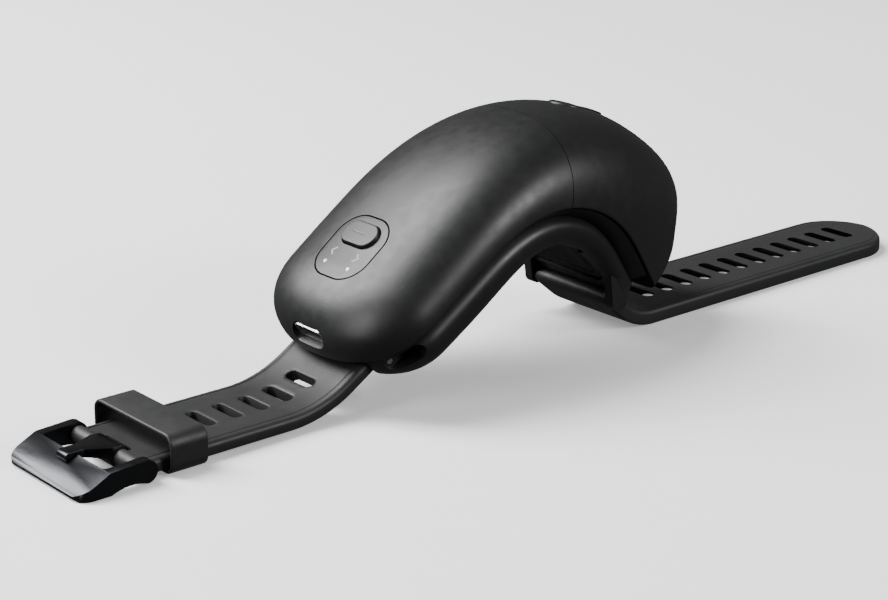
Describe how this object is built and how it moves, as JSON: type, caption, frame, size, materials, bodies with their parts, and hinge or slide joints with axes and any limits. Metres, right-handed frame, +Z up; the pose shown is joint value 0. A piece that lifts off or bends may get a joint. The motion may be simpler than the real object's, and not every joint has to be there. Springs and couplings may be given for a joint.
{
  "type": "wrist-worn vr motion controller",
  "caption": "Wrist-worn VR motion controller: arched electronics pod with buttons and a charging port on a watch strap with a pin buckle and keeper loop.",
  "frame": {"origin": "under the middle of the whole object's length, on its middle plane and on the surface it lies on", "axes": "+Z up; +X from the buckle to the tail strap's tip, so the pod's low nose faces -X and its high crown +X; +Y across the strap"},
  "size_m": [0.2246, 0.0424, 0.05],
  "materials": {
    "cover": "fine-grained matte dark grey moulded plastic",
    "tray": "matte black-grey moulded plastic",
    "silicone": "matte silicone",
    "strap": "matte speckled silicone watch strap",
    "button": "satin dark grey plastic",
    "steel": "satin stainless steel",
    "buckle": "brushed gunmetal steel with bright edges",
    "board": "green solder-masked circuit board",
    "chip": "black moulded package",
    "can": "tinned sheet",
    "cell": "foil pouch",
    "foam": "closed-cell foam",
    "flex": "polyimide flexible circuit",
    "lens": "milky translucent plastic"
  },
  "bodies": {
    "housing": {"front_top_cover": "cover", "rear_top_cover": "cover", "lower_housing": "tray", "wrist_pad": "silicone", "switch_plate": "button", "right_light_guide": "lens", "left_light_guide": "lens", "menu_bezel": "button", "usb_shell": "steel", "usb_seal": "silicone", "usb_tongue": "chip", "tracking_flex": "flex", "tracking_led_1": "lens", "tracking_led_2": "lens", "tracking_led_3": "lens", "tracking_led_4": "lens", "tracking_led_5": "lens", "tracking_led_6": "lens", "main_board": "board", "battery": "cell", "battery_foam": "foam", "shield_can": "can", "processor": "chip", "motion_sensor": "chip", "charge_controller": "chip", "antenna": "can", "button_riser": "tray", "button_board": "board", "power_switch": "chip", "right_indicator_led": "lens", "left_indicator_led": "lens", "menu_switch": "chip", "menu_board": "board", "housing_screw_1": "steel", "housing_screw_2": "steel", "housing_screw_3": "steel", "housing_screw_4": "steel", "nose_spring_bar": "steel", "heel_spring_bar": "steel"},
    "power_button": {"power_button": "button"},
    "menu_button": {"menu_button": "button"},
    "tail_strap": {"tail_strap": "strap"},
    "buckle_strap": {"buckle_strap": "strap", "buckle_pin": "steel"},
    "keeper": {"keeper_loop": "strap"},
    "buckle_frame": {"buckle_frame": "buckle"},
    "buckle_tongue": {"buckle_tongue": "buckle"}
  },
  "joints": [
    {"name": "power_button_press", "type": "slide", "parent": "housing", "child": "power_button", "axis": [0.5664, 0, -0.8241], "range_m": [0, 0.0005], "stiffness_N_per_m": 1500},
    {"name": "menu_button_press", "type": "slide", "parent": "housing", "child": "menu_button", "axis": [-0.5027, 0, -0.8645], "range_m": [0, 0.0005], "stiffness_N_per_m": 1500},
    {"name": "tail_strap_hinge", "type": "hinge", "parent": "housing", "child": "tail_strap", "pos_m": [0.01752, 0, 0.00844], "axis": [0, 1, 0], "range_deg": [0, 40]},
    {"name": "buckle_strap_hinge", "type": "hinge", "parent": "housing", "child": "buckle_strap", "pos_m": [-0.04422, 0, 0.01058], "axis": [0, -1, 0], "range_deg": [0, 40]},
    {"name": "keeper_slide", "type": "slide", "parent": "buckle_strap", "child": "keeper", "axis": [1, 0, 0], "range_m": [-0.002, 0.018]},
    {"name": "buckle_frame_hinge", "type": "hinge", "parent": "buckle_strap", "child": "buckle_frame", "pos_m": [-0.0983, 0, 0.00245], "axis": [0, -1, 0], "range_deg": [0, 70]},
    {"name": "buckle_tongue_hinge", "type": "hinge", "parent": "buckle_strap", "child": "buckle_tongue", "pos_m": [-0.0983, 0, 0.00245], "axis": [0, 1, 0], "range_deg": [0, 90]}
  ]
}
